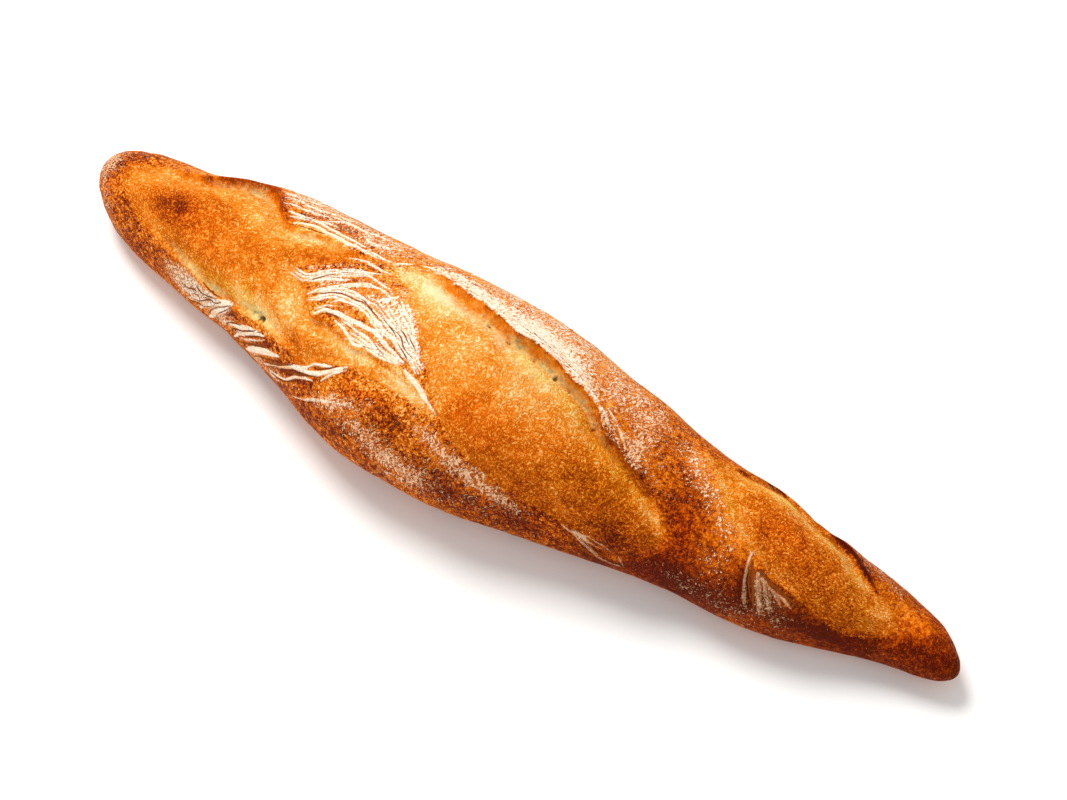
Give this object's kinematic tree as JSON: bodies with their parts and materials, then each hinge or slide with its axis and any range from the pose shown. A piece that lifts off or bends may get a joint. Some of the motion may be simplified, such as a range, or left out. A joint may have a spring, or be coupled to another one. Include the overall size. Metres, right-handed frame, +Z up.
{
  "type": "baguette",
  "caption": "Short hand-shaped baguette, whole and uncut, with slanting cuts opened under raised ears, a flour-dusted crust, one blunt end, one narrow end and a flat base to lie on.",
  "frame": {"origin": "middle of the loaf's box, on the level of its flat underside", "axes": "+X along the loaf to its narrow end, +Y towards the side that the cuts' raised ears lean from, +Z up"},
  "size_m": [0.32, 0.0696, 0.0546],
  "materials": {
    "crust": "baked bread crust, golden orange where the dough opened, browner at the ends, dusted with flour, satin to matt"
  },
  "bodies": {
    "root": {"loaf": "crust"}
  },
  "joints": []
}
